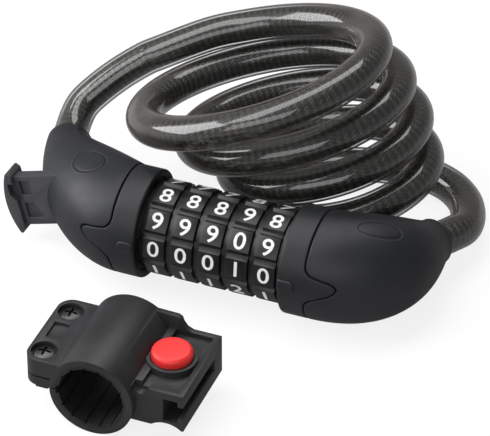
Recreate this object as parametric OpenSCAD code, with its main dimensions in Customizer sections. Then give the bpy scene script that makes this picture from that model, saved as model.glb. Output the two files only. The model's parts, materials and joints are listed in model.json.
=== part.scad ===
// Cable lock: five-dial resettable combination lock with a self-coiling
// steel cable, and the frame bracket that carries it on a bicycle.
//
// +X runs along the lock's axis towards the fixed end, +Y is away from the
// reading side, +Z is up. The floor is z = 0. Units are millimetres.

/* [Dials] */
// Diameter over the digit pads
dial_d = 32; // [30:0.5:34]
// Distance from one dial to the next
dial_pitch = 9.7; // [9:0.1:11]
// Running gap between neighbouring dials
dial_gap = 0.3; // [0.25:0.05:0.6]
// Digits round each dial
digits = 10; // [8:1:12]
// Width of the smooth rim beside the pads
rim_w = 1.9; // [1:0.1:2.5]
// Depth of the rim below the pads
rim_step = 1.1; // [0.6:0.1:1.6]
// Depth of the grooves between pads
groove_depth = 1.7; // [1:0.1:2.2]

/* [Housing] */
// Diameter of the collars and of the wide end of each cap
barrel_d = 37; // [35:0.5:40]
// Length of the collar beside the dials
collar_w = 8.8; // [8:0.1:12]
// Radial wall of a collar
collar_wall = 1.6; // [1.2:0.1:2]
// Length of the tongue that runs from a collar into its cap
tongue_l = 11; // [7:0.5:12]
// Distance along the axis from the left seam to the middle of the left neck
left_elbow_x = 36.9; // [33:0.1:38]
// Distance along the axis from the right seam to the middle of the right neck
right_elbow_x = 27.6; // [27:0.1:34]
// Distance from the axis to the middle of the left neck's mouth
left_elbow_h = 34.5; // [34:0.5:40]
// Distance from the axis to the middle of the right neck's mouth
right_elbow_h = 33; // [33:0.5:38]
// Outside diameter of the neck where the cable leaves
neck_d = 16; // [15:0.5:18]
// Outward lean of the left neck from square, in degrees
left_lean = 12; // [8:1:24]
// Outward lean of the right neck from square, in degrees
right_lean = 22; // [14:1:28]
// Turn of the left cap's neck below level, in degrees
left_roll = 4; // [0:1:10]
// Turn of the right cap's neck below level, in degrees
right_roll = 11; // [6:1:12]
// Turn of the reading line above level, in degrees
index_roll = 7; // [0:1:20]
// Length of the raised index tab on a collar
tab_l = 6; // [4:0.5:7]
// Width of the raised index tab on a collar
tab_w = 3.8; // [2.5:0.1:5]
// Length of the blind plugs on the caps
plug_l = 12.5; // [10:0.5:14]
// Width of the blind plugs on the caps
plug_w = 9; // [7:0.5:10]

/* [Locking parts] */
// Diameter of the locking pin
pin_d = 11; // [9:0.5:12]
// Wall of the slotted sleeve that the pin enters
sleeve_wall = 3.05; // [2.5:0.05:3.5]
// Radial running fit of the pin and of the dials
run_fit = 0.05; // [0.02:0.01:0.1]
// Radial fit between pieces fixed to each other
seat_fit = 0.02; // [0.01:0.01:0.05]
// Radial thickness of a combination ring
ring_wall = 3.35; // [2.8:0.05:3.6]
// Width of the fins on the pin, round the axis
fin_w = 2.8; // [2:0.1:3.2]
// Length of each fin along the axis
fin_l = 2.8; // [2:0.1:3.4]
// Clearance round the fins in the sleeve's slot
fin_gap = 0.3; // [0.25:0.05:0.5]
// Diameter of the cross pins that hold the caps
cross_pin_d = 3; // [2:0.5:3.5]

/* [Cable] */
// Outside diameter of the jacketed cable
cable_d = 12; // [11:0.5:12.5]
// Length of the crimped ferrule on each cable end
ferrule_l = 14; // [10:0.5:16]
// Wall that the ferrule adds round the cable
ferrule_wall = 1.4; // [1:0.1:1.6]

/* [Mounting rail] */
// Length of the rail's outer plate
rail_l = 22.5; // [20:0.5:27]
// Width of the rail's outer plate
rail_w = 8.4; // [7:0.1:9]
// Thickness of the plate at its ends
rail_edge = 2; // [1.5:0.1:2.4]
// Extra thickness of the plate at its middle
rail_crown = 2.4; // [1.5:0.1:2.6]
// Thickness of the web that carries the plate
rail_web = 4; // [3:0.1:4.4]
// Outward lean of the rail's top, in degrees
rail_lean = 16; // [0:1:20]

/* [Bracket] */
// Diameter of the frame tube that the clamp takes
tube_d = 22; // [20:0.5:24]
// Thickness of the rubber liner
liner_t = 1; // [0.8:0.1:1.4]
// Wall of the clamp's barrel
clamp_wall = 2.2; // [2:0.1:3]
// Length of the clamp's block and flange along the tube
block_l = 33; // [30:0.5:36]
// Length of the barrel that stands out in front of the block
barrel_lip = 3.5; // [2:0.5:5]
// Reach of the screw flange from the tube's axis
flange_reach = 25; // [24:0.5:28]
// Thickness of the flange's upper half
flange_top = 6.1; // [5:0.1:7]
// Thickness of the flange's lower half
flange_bottom = 3.1; // [3:0.1:4]
// Gap that the two screws close
clamp_split = 0.8; // [0.6:0.1:1.6]
// Height of the socket block above the tube's axis
block_top = 6.5; // [6.5:0.1:8]
// Depth of the socket block below the tube's axis
block_bottom = 7.5; // [7.5:0.1:9]
// Wall outside the socket
socket_lip = 1.8; // [1.6:0.1:2.4]
// Clearance round the rail in the socket
socket_gap = 0.3; // [0.2:0.05:0.4]
// Diameter of the release button
button_d = 13.5; // [12:0.5:14]
// Travel of the release button
button_travel = 2; // [1.5:0.1:2]
// Diameter of the clamp screws
screw_d = 4; // [3:0.5:4]

/* [Hidden] */
$fn = 64;
over = 1;                       // cutters run this far past a face

// Stations along the lock's axis, from the middle dial outwards
dial_count = 5;
dial_w = dial_pitch - dial_gap;
stack_x = dial_pitch * (dial_count - 1) / 2 + dial_w / 2;
washer_t = 1.6;
side_gap = 0.3;
right_x = stack_x + side_gap + washer_t;
retainer_t = 1;
retainer_x = stack_x + side_gap + retainer_t;
part_gap = 0.3;                 // where the pin half meets the body
left_x = retainer_x + part_gap;
disc_t = 1.2;

// Radii about the lock's axis
barrel_r = barrel_d / 2;
belly = 0.9;                    // how far the right elbow hangs below a collar
axis_z = barrel_r + belly;
spigot_r = barrel_r - collar_wall;
pin_r = pin_d / 2;
sleeve_bore_r = pin_r + run_fit;
sleeve_r = sleeve_bore_r + sleeve_wall;
ring_bore_r = sleeve_r + run_fit;
ring_r = ring_bore_r + ring_wall;
fin_r = sleeve_r - fin_gap;
cable_r = cable_d / 2;
neck_r = neck_d / 2;

// Elbows of the caps, left and right
elbow_start = [8, 17];          // first handle of the elbow's curve
elbow_end = [12, 10];           // second handle, back from the mouth
elbow_hold = [1.45, 2.1];       // how long the elbow keeps the barrel's width
cap_rings = 14;
cap_sides = 28;
ring_step = 0.05;
mouth_round = 0.9;
neck_depth = 10;                // how far the jacket enters the neck
plug_x = 51.5;
plug_turn = 55;                 // from the neck's side round to the top
plug_seat_r = 13.4;
root_l = 0.6;                   // how far a tongue reaches into its collar
stub_x = 55;
sleeve_end_x = 44;
pin_tip_x = 27;

// Bracket
bracket_x = -10.9;
bracket_y = -81.5;
liner_r = tube_d / 2 + liner_t;
clamp_r = liner_r + clamp_wall;
clamp_z = clamp_r;
rail_t = rail_edge + rail_crown;
socket_w = rail_t + 2 * socket_gap;
socket_h = rail_w + 2 * socket_gap - 0.4;
block_reach = 30;
socket_x = block_reach - socket_lip - socket_w;
socket_mid = clamp_z - 0.4;
socket_end = rail_l + 4;
floor_t = 0.8;
boss_x = 19.5;
boss_y = block_l / 2 + 0.5;
boss_wall = 1.5;
boss_rise = 0.8;
button_fit = 0.1;
button_r = button_d / 2;
boss_r = button_r + button_fit + boss_wall;
boss_floor_z = socket_mid + socket_h / 2 + floor_t;
button_z = boss_floor_z + button_travel + 0.2;
block_top_z = clamp_z + block_top;
block_bottom_z = clamp_z - block_bottom;
button_top_z = block_top_z + boss_rise + 3;
screw_x = -19.8;
screw_ys = [6, block_l - 6];

// The origin is under the middle of the lock and its bracket together
origin_x = -4.16;
origin_y = -24.08;

// ---- helpers ------------------------------------------------------------

// Everything is drawn round the middle dial and then moved to the origin
module placed() {
    translate([-origin_x, -origin_y, 0]) children();
}

// X along the lock's axis, with -Y turned up to the reading line
module index_frame() {
    translate([0, 0, axis_z]) rotate([-index_roll, 0, 0]) children();
}

// +X outwards along the axis and +Y towards the neck, for either cap
module cap_frame(side) {
    roll = side > 0 ? right_roll : left_roll;
    translate([0, 0, axis_z]) rotate([-roll, 0, 0])
        if (side > 0) children();
        else mirror([1, 0, 0]) children();
}

// +Z out of the neck's mouth
module neck_frame(side) {
    translate(mouth(side)) rotate([0, 0, -lean(side)])
        rotate([-90, 0, 0]) children();
}

// Cylinder along X from x0 to x1
module rod_x(x0, x1, r) {
    translate([x0, 0, 0]) rotate([0, 90, 0]) cylinder(h = x1 - x0, r = r);
}

// Tube along X from x0 to x1
module tube_x(x0, x1, outer, inner) {
    difference() {
        rod_x(x0, x1, outer);
        rod_x(x0 - over, x1 + over, inner);
    }
}

// Cylinder along Y from y0 to y1
module rod_y(y0, y1, r) {
    translate([0, y0, 0]) rotate([-90, 0, 0]) cylinder(h = y1 - y0, r = r);
}

// Faces of a closed skin over rings of n points each
function skin_faces(count, n) = concat(
    [[for (j = [0:n - 1]) j]],
    [for (i = [0:count - 2]) for (j = [0:n - 1])
        [i * n + j, (i + 1) * n + j,
         (i + 1) * n + (j + 1) % n, i * n + (j + 1) % n]],
    [[for (j = [n - 1:-1:0]) (count - 1) * n + j]]
);

function flat(rings) = [for (ring = rings) for (p = ring) p];
function unit(v) = v / norm(v);

// Round tube swept along a list of points
function sweep_rings(path, r, n) =
    let (last = len(path) - 1)
    [for (i = [0:last])
        let (t = unit(path[min(i + 1, last)] - path[max(i - 1, 0)]),
             side = unit(cross(t, [0, 0, 1])),
             rise = cross(side, t))
        [for (j = [0:n - 1])
            let (a = 360 * j / n)
            path[i] + r * (cos(a) * side + sin(a) * rise)]];

module swept_tube(path, r, n) {
    polyhedron(flat(sweep_rings(path, r, n)),
               skin_faces(len(path), n), convexity = 6);
}

// Smooth curve through hand-placed points, with a few steps to each span
function through(p, steps) = let (last = len(p) - 1) concat(
    [for (i = [0:last - 1]) for (k = [0:steps - 1])
        let (s = k / steps,
             a = p[max(i - 1, 0)], b = p[i],
             c = p[i + 1], d = p[min(i + 2, last)])
        0.5 * (2 * b + (c - a) * s
            + (2 * a - 5 * b + 4 * c - d) * s * s
            + (3 * b - a - 3 * c + d) * s * s * s)],
    [p[last]]
);

// ---- caps and collars: side is -1 for the left and 1 for the right --------

function of_side(pair, side) = pair[side > 0 ? 1 : 0];
function lean(side) = of_side([left_lean, right_lean], side);
function lean_dir(side) = [sin(lean(side)), cos(lean(side))];
function collar_x(side) = side > 0 ? right_x : stack_x + side_gap;
function seam_x(side) = collar_x(side) + collar_w;
function exit_x(side) = seam_x(side)
    + of_side([left_elbow_x, right_elbow_x], side);
function mouth(side) = [exit_x(side),
                        of_side([left_elbow_h, right_elbow_h], side)];

function elbow_points(side) = [
    [seam_x(side), 0], [seam_x(side) + of_side(elbow_start, side), 0],
    mouth(side) - of_side(elbow_end, side) * lean_dir(side), mouth(side)
];
function bezier(p, u) = pow(1 - u, 3) * p[0] + 3 * pow(1 - u, 2) * u * p[1]
    + 3 * (1 - u) * u * u * p[2] + u * u * u * p[3];
function bezier_dir(p, u) = unit(pow(1 - u, 2) * (p[1] - p[0])
    + 2 * (1 - u) * u * (p[2] - p[1]) + u * u * (p[3] - p[2]));
function cap_radius(side, u) = neck_r + (barrel_r - neck_r)
    * (0.5 + 0.5 * cos(180 * pow(u, of_side(elbow_hold, side))));
function cap_ring(c, t, r, least_x) = [for (j = [0:cap_sides - 1])
    let (a = 360 * j / cap_sides)
    [max(least_x, c[0] - r * cos(a) * t[1]), c[1] + r * cos(a) * t[0],
     r * sin(a)]];

// Outer skin of a cap: a barrel that turns and narrows to the cable's neck.
// Inside the turn its rings are held past the seam, a little step apart.
// A root takes it back under the collar.
module cap_form(side, root = 0) {
    p = elbow_points(side);
    rings = concat(
        [cap_ring([seam_x(side) - root, 0], [1, 0], barrel_r - root / 4,
                  seam_x(side) - root)],
        [for (i = [1:cap_rings])
            let (u = i / cap_rings)
            cap_ring(bezier(p, u), bezier_dir(p, u), cap_radius(side, u),
                     seam_x(side) + i * ring_step)],
        [cap_ring(mouth(side) + mouth_round * lean_dir(side), lean_dir(side),
                  neck_r - mouth_round, seam_x(side))]
    );
    polyhedron(flat(rings), skin_faces(cap_rings + 2, cap_sides),
               convexity = 4);
}

// Outline of the tongue: how far it reaches past the seam, and where round it
module tongue_cut(side) {
    outline = [
        [-root_l, 8], [0.3, 7.4], [0.9, 6.3], [2.3, 5.2], [0.55 * tongue_l, 4.3],
        [0.86 * tongue_l, 3.4], [tongue_l, 2.2], [tongue_l, 1.2],
        [0.84 * tongue_l, -0.7], [0.56 * tongue_l, -2.3],
        [0.25 * tongue_l, -4], [0.9, -5.6], [0.3, -7.5], [-root_l, -8]
    ];
    index_frame() mirror([side > 0 ? 0 : 1, 0, 0]) rotate([90, 0, 0])
        translate([seam_x(side), 0, plug_seat_r])
            linear_extrude(barrel_r) polygon(outline);
}

// Round-ended plug over the cross pin
module plug_cut() {
    straight = (plug_l - plug_w) / 2;
    translate([plug_x, 0, 0]) rotate([plug_turn - 90, 0, 0])
        translate([0, 0, plug_seat_r])
            linear_extrude(barrel_r) union() {
                translate([-straight, 0]) circle(d = plug_w);
                translate([straight, 0]) circle(d = plug_w);
                translate([-straight, -plug_w / 2])
                    square([2 * straight, plug_w]);
            }
}

// Cross pin that holds a cap to the pin or the sleeve
module cross_pin_rod(r) {
    translate([plug_x, 0, 0]) rotate([plug_turn - 90, 0, 0])
        translate([0, 0, 2]) cylinder(h = plug_seat_r - 2, r = r);
}

module cap(side, spigot_x, bore_r, bore_x) {
    difference() {
        cap_frame(side) union() {
            cap_form(side);
            rod_x(spigot_x, seam_x(side) + over, spigot_r - seat_fit);
        }
        cap_frame(side) {
            rod_x(spigot_x - over, bore_x, bore_r + seat_fit);
            rod_x(spigot_x, stub_x + seat_fit, pin_r + seat_fit);
            neck_frame(side) {
                translate([0, 0, -neck_depth])
                    cylinder(h = neck_depth + 2, r = cable_r + 0.15);
                translate([0, 0, -neck_depth - ferrule_l])
                    cylinder(h = ferrule_l + 0.01,
                             r = cable_r + ferrule_wall + seat_fit);
            }
            plug_cut();
            cross_pin_rod(cross_pin_d / 2 + seat_fit);
        }
        tongue_cut(side);
    }
}

module collar(side) {
    edge = 0.7;
    tab_rise = 0.35;
    start_x = collar_x(side);
    union() {
        index_frame() mirror([side > 0 ? 0 : 1, 0, 0]) {
            rotate([0, 90, 0]) rotate_extrude() polygon([
                [spigot_r, start_x], [barrel_r - edge, start_x],
                [barrel_r, start_x + edge], [barrel_r, seam_x(side)],
                [spigot_r, seam_x(side)]
            ]);
            translate([start_x + 0.2, 0, 0]) rotate([90, 0, 0])
                translate([0, 0, barrel_r + tab_rise - 1.2])
                    linear_extrude(1.2) union() {
                        translate([0, -tab_w / 2])
                            square([tab_l - tab_w / 2, tab_w]);
                        translate([tab_l - tab_w / 2, 0])
                            circle(d = tab_w, $fn = 32);
                    }
        }
        intersection() {
            cap_frame(side) cap_form(side, root_l + over);
            tongue_cut(side);
        }
    }
}

module plug(side) {
    cap_frame(side) intersection() {
        cap_form(side);
        plug_cut();
    }
}

module ferrule(side) {
    cap_frame(side) neck_frame(side) translate([0, 0, -neck_depth - ferrule_l])
        cylinder(h = ferrule_l, r = cable_r + ferrule_wall);
}

module left_cap() color([0.17, 0.17, 0.18])
    placed() cap(-1, left_x + disc_t, pin_r, stub_x);
module right_cap() color([0.17, 0.17, 0.18])
    placed() cap(1, right_x, sleeve_r, sleeve_end_x);
module left_collar() color([0.2, 0.2, 0.21]) placed() collar(-1);
module right_collar() color([0.2, 0.2, 0.21]) placed() collar(1);
module left_plug() color([0.22, 0.22, 0.23]) placed() plug(-1);
module right_plug() color([0.22, 0.22, 0.23]) placed() plug(1);
module left_ferrule() color([0.6, 0.6, 0.62]) placed() ferrule(-1);
module right_ferrule() color([0.6, 0.6, 0.62]) placed() ferrule(1);
module left_cross_pin() color([0.6, 0.6, 0.62])
    placed() cap_frame(-1) cross_pin_rod(cross_pin_d / 2);
module right_cross_pin() color([0.6, 0.6, 0.62])
    placed() cap_frame(1) cross_pin_rod(cross_pin_d / 2);

// ---- locking pin, sleeve and rings -------------------------------------

module end_disc() color([0.06, 0.06, 0.06]) placed() index_frame()
    mirror([1, 0, 0])
        tube_x(left_x, left_x + disc_t, spigot_r - seat_fit,
               pin_r + seat_fit);

module locking_pin() color([0.75, 0.75, 0.77]) placed() difference() {
    index_frame() union() {
        rod_x(-stub_x, pin_tip_x - 1.5, pin_r);
        translate([pin_tip_x - 1.5, 0, 0]) rotate([0, 90, 0])
            cylinder(h = 1.5, r1 = pin_r, r2 = pin_r - 1.5);
        for (i = [1:dial_count])
            translate([(i - 3) * dial_pitch - fin_l / 2, -fin_r,
                       -fin_w / 2])
                cube([fin_l, fin_r, fin_w]);
    }
    cap_frame(-1) cross_pin_rod(cross_pin_d / 2 + seat_fit);
}

module core_sleeve() color([0.7, 0.7, 0.72]) placed() difference() {
    slot_w = fin_w + 2 * fin_gap;
    slot_end = 2 * dial_pitch + fin_l / 2 + 2;
    index_frame() difference() {
        union() {
            rod_x(-retainer_x, sleeve_end_x, sleeve_r);
            rod_x(sleeve_end_x - over, stub_x, pin_r);
        }
        rod_x(-retainer_x - over, pin_tip_x + 1, sleeve_bore_r);
        translate([-retainer_x - over, -sleeve_r - over, -slot_w / 2])
            cube([retainer_x + over + slot_end, sleeve_r + over, slot_w]);
    }
    cap_frame(1) cross_pin_rod(cross_pin_d / 2 + seat_fit);
}

module retaining_ring() color([0.6, 0.6, 0.62]) placed() index_frame()
    tube_x(-retainer_x, -retainer_x + retainer_t, ring_r + 2,
           sleeve_r + seat_fit);

// Ring that closes the gap between the last dial and the right collar
module side_washer() color([0.12, 0.12, 0.12]) placed() index_frame()
    tube_x(right_x - washer_t, right_x, dial_d / 2 - rim_step,
           sleeve_r + seat_fit);

// Outline of a dial: a flat pad for each digit, with grooves between
module dial_outline() {
    step = 360 / digits;
    pad_r = dial_d / 2;
    half_pad = 0.36 * step;
    polygon([for (k = [0:digits - 1]) each
        let (a = (k + 0.5) * step)
        [(pad_r - groove_depth) * [cos(a - step / 2), sin(a - step / 2)],
         pad_r * [cos(a - half_pad), sin(a - half_pad)],
         pad_r * [cos(a + half_pad), sin(a + half_pad)]]]);
}

module dial(i) {
    color([0.12, 0.12, 0.12]) placed() index_frame()
        translate([(i - 3) * dial_pitch - dial_w / 2, 0, 0])
            rotate([0, 90, 0]) difference() {
                union() {
                    translate([0, 0, rim_w])
                        linear_extrude(dial_w - rim_w) dial_outline();
                    cylinder(h = dial_w, r = dial_d / 2 - rim_step);
                }
                translate([0, 0, -over])
                    cylinder(h = dial_w + 2 * over, r = ring_r + seat_fit);
            }
}

// Ring inside a dial, with the gate that lets a fin pass
module combination_ring(i) {
    color([0.8, 0.75, 0.55]) placed() index_frame()
        translate([(i - 3) * dial_pitch, 0, 0]) difference() {
            tube_x(-dial_w / 2, dial_w / 2, ring_r, ring_bore_r);
            translate([-dial_w, -ring_bore_r - 1.6, -fin_w / 2 - fin_gap])
                cube([2 * dial_w, 3, fin_w + 2 * fin_gap]);
        }
}

module dial_1() dial(1);
module dial_2() dial(2);
module dial_3() dial(3);
module dial_4() dial(4);
module dial_5() dial(5);
module combination_ring_1() combination_ring(1);
module combination_ring_2() combination_ring(2);
module combination_ring_3() combination_ring(3);
module combination_ring_4() combination_ring(4);
module combination_ring_5() combination_ring(5);

// ---- cable --------------------------------------------------------------

// The coil: its middle, what each turn adds, and how its radius shrinks
coil_mid = [12, 54.8, 29.2];
coil_step = [10.2, -0.2, -11.2];
coil_bend = [-0.5, -1.8, 0.3];
coil_r = 33;
coil_r_step = -4.6;
coil_tilt = [0.27, -0.073];
coil_tilt_step = [-0.044, 0.033];
coil_turns = 4;

function coil_centre(s) = coil_mid + s * coil_step + s * s * coil_bend;

// One ring for each turn of the coil, each lying on the next
module cable_coil() color([0.3, 0.28, 0.27]) placed()
    for (k = [0:coil_turns - 1]) {
        s = k - (coil_turns - 1) / 2 - 0.3;
        tilt = coil_tilt + s * coil_tilt_step;
        translate(coil_centre(s))
            rotate([atan(tilt[1]), -atan(tilt[0]), 0])
                rotate_extrude($fn = 48)
                    translate([coil_r + s * coil_r_step, 0])
                        circle(r = cable_r, $fn = 24);
    }

// Hand-placed routes from the necks to the coil
left_route = [
    [-71.6, 41.9, 16.5], [-73, 48.5, 18.4], [-71, 55.5, 24.5],
    [-64, 61.5, 30.5], [-53.5, 67, 35.8], [-41, 74, 40]
];
right_route = [
    [66.4, 40.5, 11.8], [68, 48, 9.8], [66.5, 57, 8], [62, 66, 6.9],
    [54, 73, 6.5], [43, 76, 6.8], [31, 74, 7.4], [22, 71, 8]
];

// A point out of a neck's mouth, in the same frame as the routes
function neck_point(side, out) =
    let (roll = side > 0 ? right_roll : left_roll,
         p = mouth(side) + out * lean_dir(side))
    [side * p[0], p[1] * cos(roll), axis_z - p[1] * sin(roll)];

module lead(side, route) {
    start = [neck_point(side, part_gap - neck_depth), neck_point(side, -5),
             neck_point(side, 0)];
    swept_tube(through(concat(start, route), 2), cable_r, 12);
}

module cable_lead_left() color([0.3, 0.28, 0.27])
    placed() lead(-1, left_route);
module cable_lead_right() color([0.3, 0.28, 0.27])
    placed() lead(1, right_route);

// ---- rail on the left cap ----------------------------------------------

// Plate of the rail: flat inside, crowned outside, with its corners taken off
module rail_plate() {
    crown_r = (pow(rail_l / 2, 2) + pow(rail_crown, 2)) / (2 * rail_crown);
    corner = 1.2;
    rotate([90, 0, 0]) linear_extrude(rail_w, center = true)
        intersection() {
            translate([rail_t - crown_r, 0]) circle(r = crown_r, $fn = 128);
            polygon([
                [0, corner - rail_l / 2], [corner, -rail_l / 2],
                [rail_t, -rail_l / 2], [rail_t, rail_l / 2],
                [corner, rail_l / 2], [0, rail_l / 2 - corner]
            ]);
        }
}

// Hollows in the front of the web, and the notch that the latch drops into
module rail_hollows() {
    deep = 1.3;
    edge = 1.3;
    top = [[-edge, 0.1], [-5, 0.1], [-5, 0.33], [-edge, 0.33]];
    bottom = [[-edge, -0.29], [-7.4, -0.29], [-4.6, -0.04], [-edge, -0.04]];
    notch = [[-over, -0.33], [rail_edge, -0.33], [rail_edge, -0.15],
             [-over, 0.02]];
    for (form = [top, bottom])
        translate([0, deep - rail_web / 2, 0]) rotate([90, 0, 0])
            linear_extrude(deep + over)
                polygon([for (q = form) [q[0], q[1] * rail_l]]);
    translate([0, 3 - rail_w / 2, 0]) rotate([90, 0, 0])
        linear_extrude(3 + over)
            polygon([for (q = notch) [q[0], -q[1] * rail_l]]);
}

module mount_rail() color([0.15, 0.15, 0.16]) placed()
    cap_frame(-1) difference() {
        web_l = 19;
        translate([exit_x(-1) + 3.5, 3, -4.4]) rotate([0, rail_lean, 0])
            difference() {
                union() {
                    rail_plate();
                    translate([-web_l, -rail_web / 2, 2 - rail_l / 2])
                        cube([web_l + 0.5, rail_web, rail_l - 4]);
                }
                rail_hollows();
            }
        cap_form(-1);
    }

// ---- bracket ------------------------------------------------------------

module bracket_frame() {
    translate([bracket_x, bracket_y, 0]) children();
}

// Plan of the screw flange, with its outer corners rounded
module flange_plan() {
    corner = 5;
    for (y = [corner, block_l - corner])
        translate([corner - flange_reach, y]) circle(r = corner);
    translate([-flange_reach, corner])
        square([corner + over, block_l - 2 * corner]);
    translate([corner - flange_reach, 0])
        square([flange_reach - corner - tube_d / 3, block_l]);
}

module clamp_body() color([0.2, 0.2, 0.21]) placed() bracket_frame() union() {
    boss_rim();
    difference() {
        union() {
            translate([0, 0, clamp_z]) rod_y(-barrel_lip, block_l, clamp_r);
            translate([0, 0, clamp_z + clamp_split / 2])
                linear_extrude(flange_top) flange_plan();
            translate([0, 0, clamp_z - clamp_split / 2 - flange_bottom])
                linear_extrude(flange_bottom) flange_plan();
            translate([clamp_r / 2, 0, block_bottom_z])
                cube([block_reach - clamp_r / 2, block_l,
                      block_top + block_bottom]);
            far_ear();
        }
        translate([0, 0, clamp_z])
            rod_y(-barrel_lip - over, block_l + over, liner_r + seat_fit);
        translate([-flange_reach - over, -barrel_lip - over,
                   clamp_z - clamp_split / 2])
            cube([flange_reach, block_l + barrel_lip + 2 * over,
                  clamp_split]);
        screw_cuts();
        block_pockets();
        socket_cuts();
    }
}

// Holes, counterbores and the sink between them in the flange
module screw_cuts() {
    top = clamp_z + clamp_split / 2 + flange_top;
    for (y = screw_ys) {
        translate([screw_x, y, 0])
            cylinder(h = 2 * clamp_z, r = screw_d / 2 + 0.15);
        translate([screw_x, y, top - 1.9])
            cylinder(h = 3, r = screw_d + 0.3);
    }
    translate([screw_x - 2.6, screw_ys[0] + 6.5, top - 1.2])
        cube([5.2, screw_ys[1] - screw_ys[0] - 13, 3]);
}

// Open wells round the button's boss in the top of the block
module block_pockets() {
    wall = 2;
    arch_r = 8;
    difference() {
        translate([clamp_r + 1, wall, boss_floor_z])
            cube([block_reach - clamp_r - 1 - wall, block_l - 2 * wall,
                  block_top]);
        translate([boss_x, boss_y, 0])
            cylinder(h = block_top_z + boss_rise, r = boss_r);
    }
    // scoop where the near wall meets the barrel, and the arch below it
    translate([clamp_r + 1.4, 0, block_top_z]) rod_y(-over, wall + over, 2.8);
    translate([block_reach - 5.8, 0, block_bottom_z - arch_r + 1.8])
        rod_y(-over, 5, arch_r);
}

// Raised end of the far wall beside the barrel
module far_ear() {
    translate([0, block_l, block_top_z]) rotate([90, 0, 0])
        linear_extrude(2) polygon([
            [8, -1], [8, 5.2], [15.5, 5], [16.7, 4.3], [17.2, 2.7],
            [18.5, 0.9], [20.5, 0], [20.5, -1]
        ]);
}

// Socket for the rail, the button's bore and the latch's way down
module socket_cuts() {
    translate([socket_x, -over, socket_mid - socket_h / 2])
        cube([socket_w, socket_end + over, socket_h]);
    translate([socket_x, -over, socket_mid - rail_web / 2 - socket_gap])
        cube([socket_w + socket_lip + over, socket_end + over,
              rail_web + 2 * socket_gap]);
    translate([boss_x, boss_y, boss_floor_z])
        cylinder(h = clamp_z, r = button_r + button_fit);
    translate([leg_x - latch_gap, boss_y - latch_w / 2 - latch_gap,
               block_bottom_z - over])
        cube([leg_t + 2 * latch_gap, latch_w + 2 * latch_gap, clamp_z]);
    translate([leg_x - latch_gap, boss_y - latch_w / 2 - latch_gap,
               block_bottom_z - over])
        cube([foot_l + 2 * latch_gap, latch_w + 2 * latch_gap,
              over + foot_drop + foot_t + latch_gap]);
    translate([tooth_x - latch_gap, boss_y - latch_w / 2 - latch_gap,
               block_bottom_z])
        cube([tooth_l + 2 * latch_gap, latch_w + 2 * latch_gap, 6]);
    translate([spring_x, boss_y, spring_z])
        cylinder(h = clamp_z, r = spring_r + 0.3);
}

// Ring that guides the button, standing above the block's top
module boss_rim() {
    translate([boss_x, boss_y, boss_floor_z]) difference() {
        cylinder(h = block_top_z + boss_rise - boss_floor_z, r = boss_r);
        translate([0, 0, -over])
            cylinder(h = clamp_z, r = button_r + button_fit);
    }
}

// Latch under the button
latch_gap = 0.3;
latch_w = 6;
leg_x = socket_x - 2.7;
leg_t = socket_x - leg_x - latch_gap - 0.8;
foot_l = 6;
foot_t = 1.4;
foot_drop = 0.5;
tooth_l = 2.2;
tooth_x = leg_x + foot_l - tooth_l;
tooth_reach = 1.2;

module socket_latch() color([0.6, 0.6, 0.62]) placed() bracket_frame() {
    y = boss_y - latch_w / 2;
    foot_z = block_bottom_z + foot_drop;
    socket_floor = socket_mid - socket_h / 2;
    translate([leg_x, y, foot_z])
        cube([leg_t, latch_w, button_z - foot_z]);
    translate([leg_x, y, foot_z]) cube([foot_l, latch_w, foot_t]);
    translate([tooth_x, y, foot_z])
        cube([tooth_l, latch_w, socket_floor + tooth_reach - foot_z]);
}

module release_button() color([0.95, 0.2, 0.2]) placed() bracket_frame()
    translate([boss_x, boss_y, button_z]) difference() {
        edge = 0.9;
        h = button_top_z - button_z;
        rotate_extrude() polygon([
            [0, 0], [button_r, 0], [button_r, h - edge],
            [button_r - edge, h], [0, h]
        ]);
        translate([spring_x - boss_x, 0, -over])
            cylinder(h = over + spring_sink, r = spring_r + 0.3);
    }

// Return spring of the button
spring_x = boss_x - 2.8;
spring_r = 2.1;
spring_wire = 0.6;
spring_z = clamp_z - 2;
spring_sink = 1.5;
spring_turns = 5;

module button_spring() color([0.7, 0.7, 0.72]) placed() bracket_frame() {
    top = button_z + spring_sink - 0.05;
    rise = top - spring_z - spring_wire;
    steps = 10 * spring_turns;
    translate([spring_x, boss_y, spring_z + spring_wire / 2])
        swept_tube([for (i = [0:steps])
            let (a = 360 * i / 10)
            [(spring_r - spring_wire / 2) * cos(a),
             (spring_r - spring_wire / 2) * sin(a), rise * i / steps]],
            spring_wire / 2, 6);
}

// Rubber liner with grooves along the tube
module clamp_liner() color([0.1, 0.1, 0.1]) placed() bracket_frame()
    translate([0, 0, clamp_z]) difference() {
        rod_y(-barrel_lip, block_l, liner_r);
        rod_y(-barrel_lip - over, block_l + over, tube_d / 2);
        translate([-2 * liner_r, -barrel_lip - over, -1.5])
            cube([2 * liner_r, block_l + barrel_lip + 2 * over, 3]);
        for (a = [-150:25:150]) rotate([0, a, 0])
            translate([tube_d / 2, 0, 0])
                rod_y(-barrel_lip - over, block_l + over, 0.5);
    }

module clamp_screws() color([0.35, 0.35, 0.36]) placed() bracket_frame() {
    top = clamp_z + clamp_split / 2 + flange_top;
    for (y = screw_ys) translate([screw_x, y, 0]) difference() {
        union() {
            translate([0, 0, clamp_z - clamp_split / 2 - flange_bottom - 4])
                cylinder(h = top - clamp_z + flange_bottom + 3,
                         r = screw_d / 2);
            translate([0, 0, top - 1.9])
                cylinder(h = 1.7, r1 = screw_d * 0.9, r2 = screw_d * 0.75);
        }
        for (a = [0, 90]) rotate([0, 0, a])
            translate([-screw_d * 0.55, -0.4, top - 1.3])
                cube([screw_d * 1.1, 0.8, 2]);
    }
}

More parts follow.
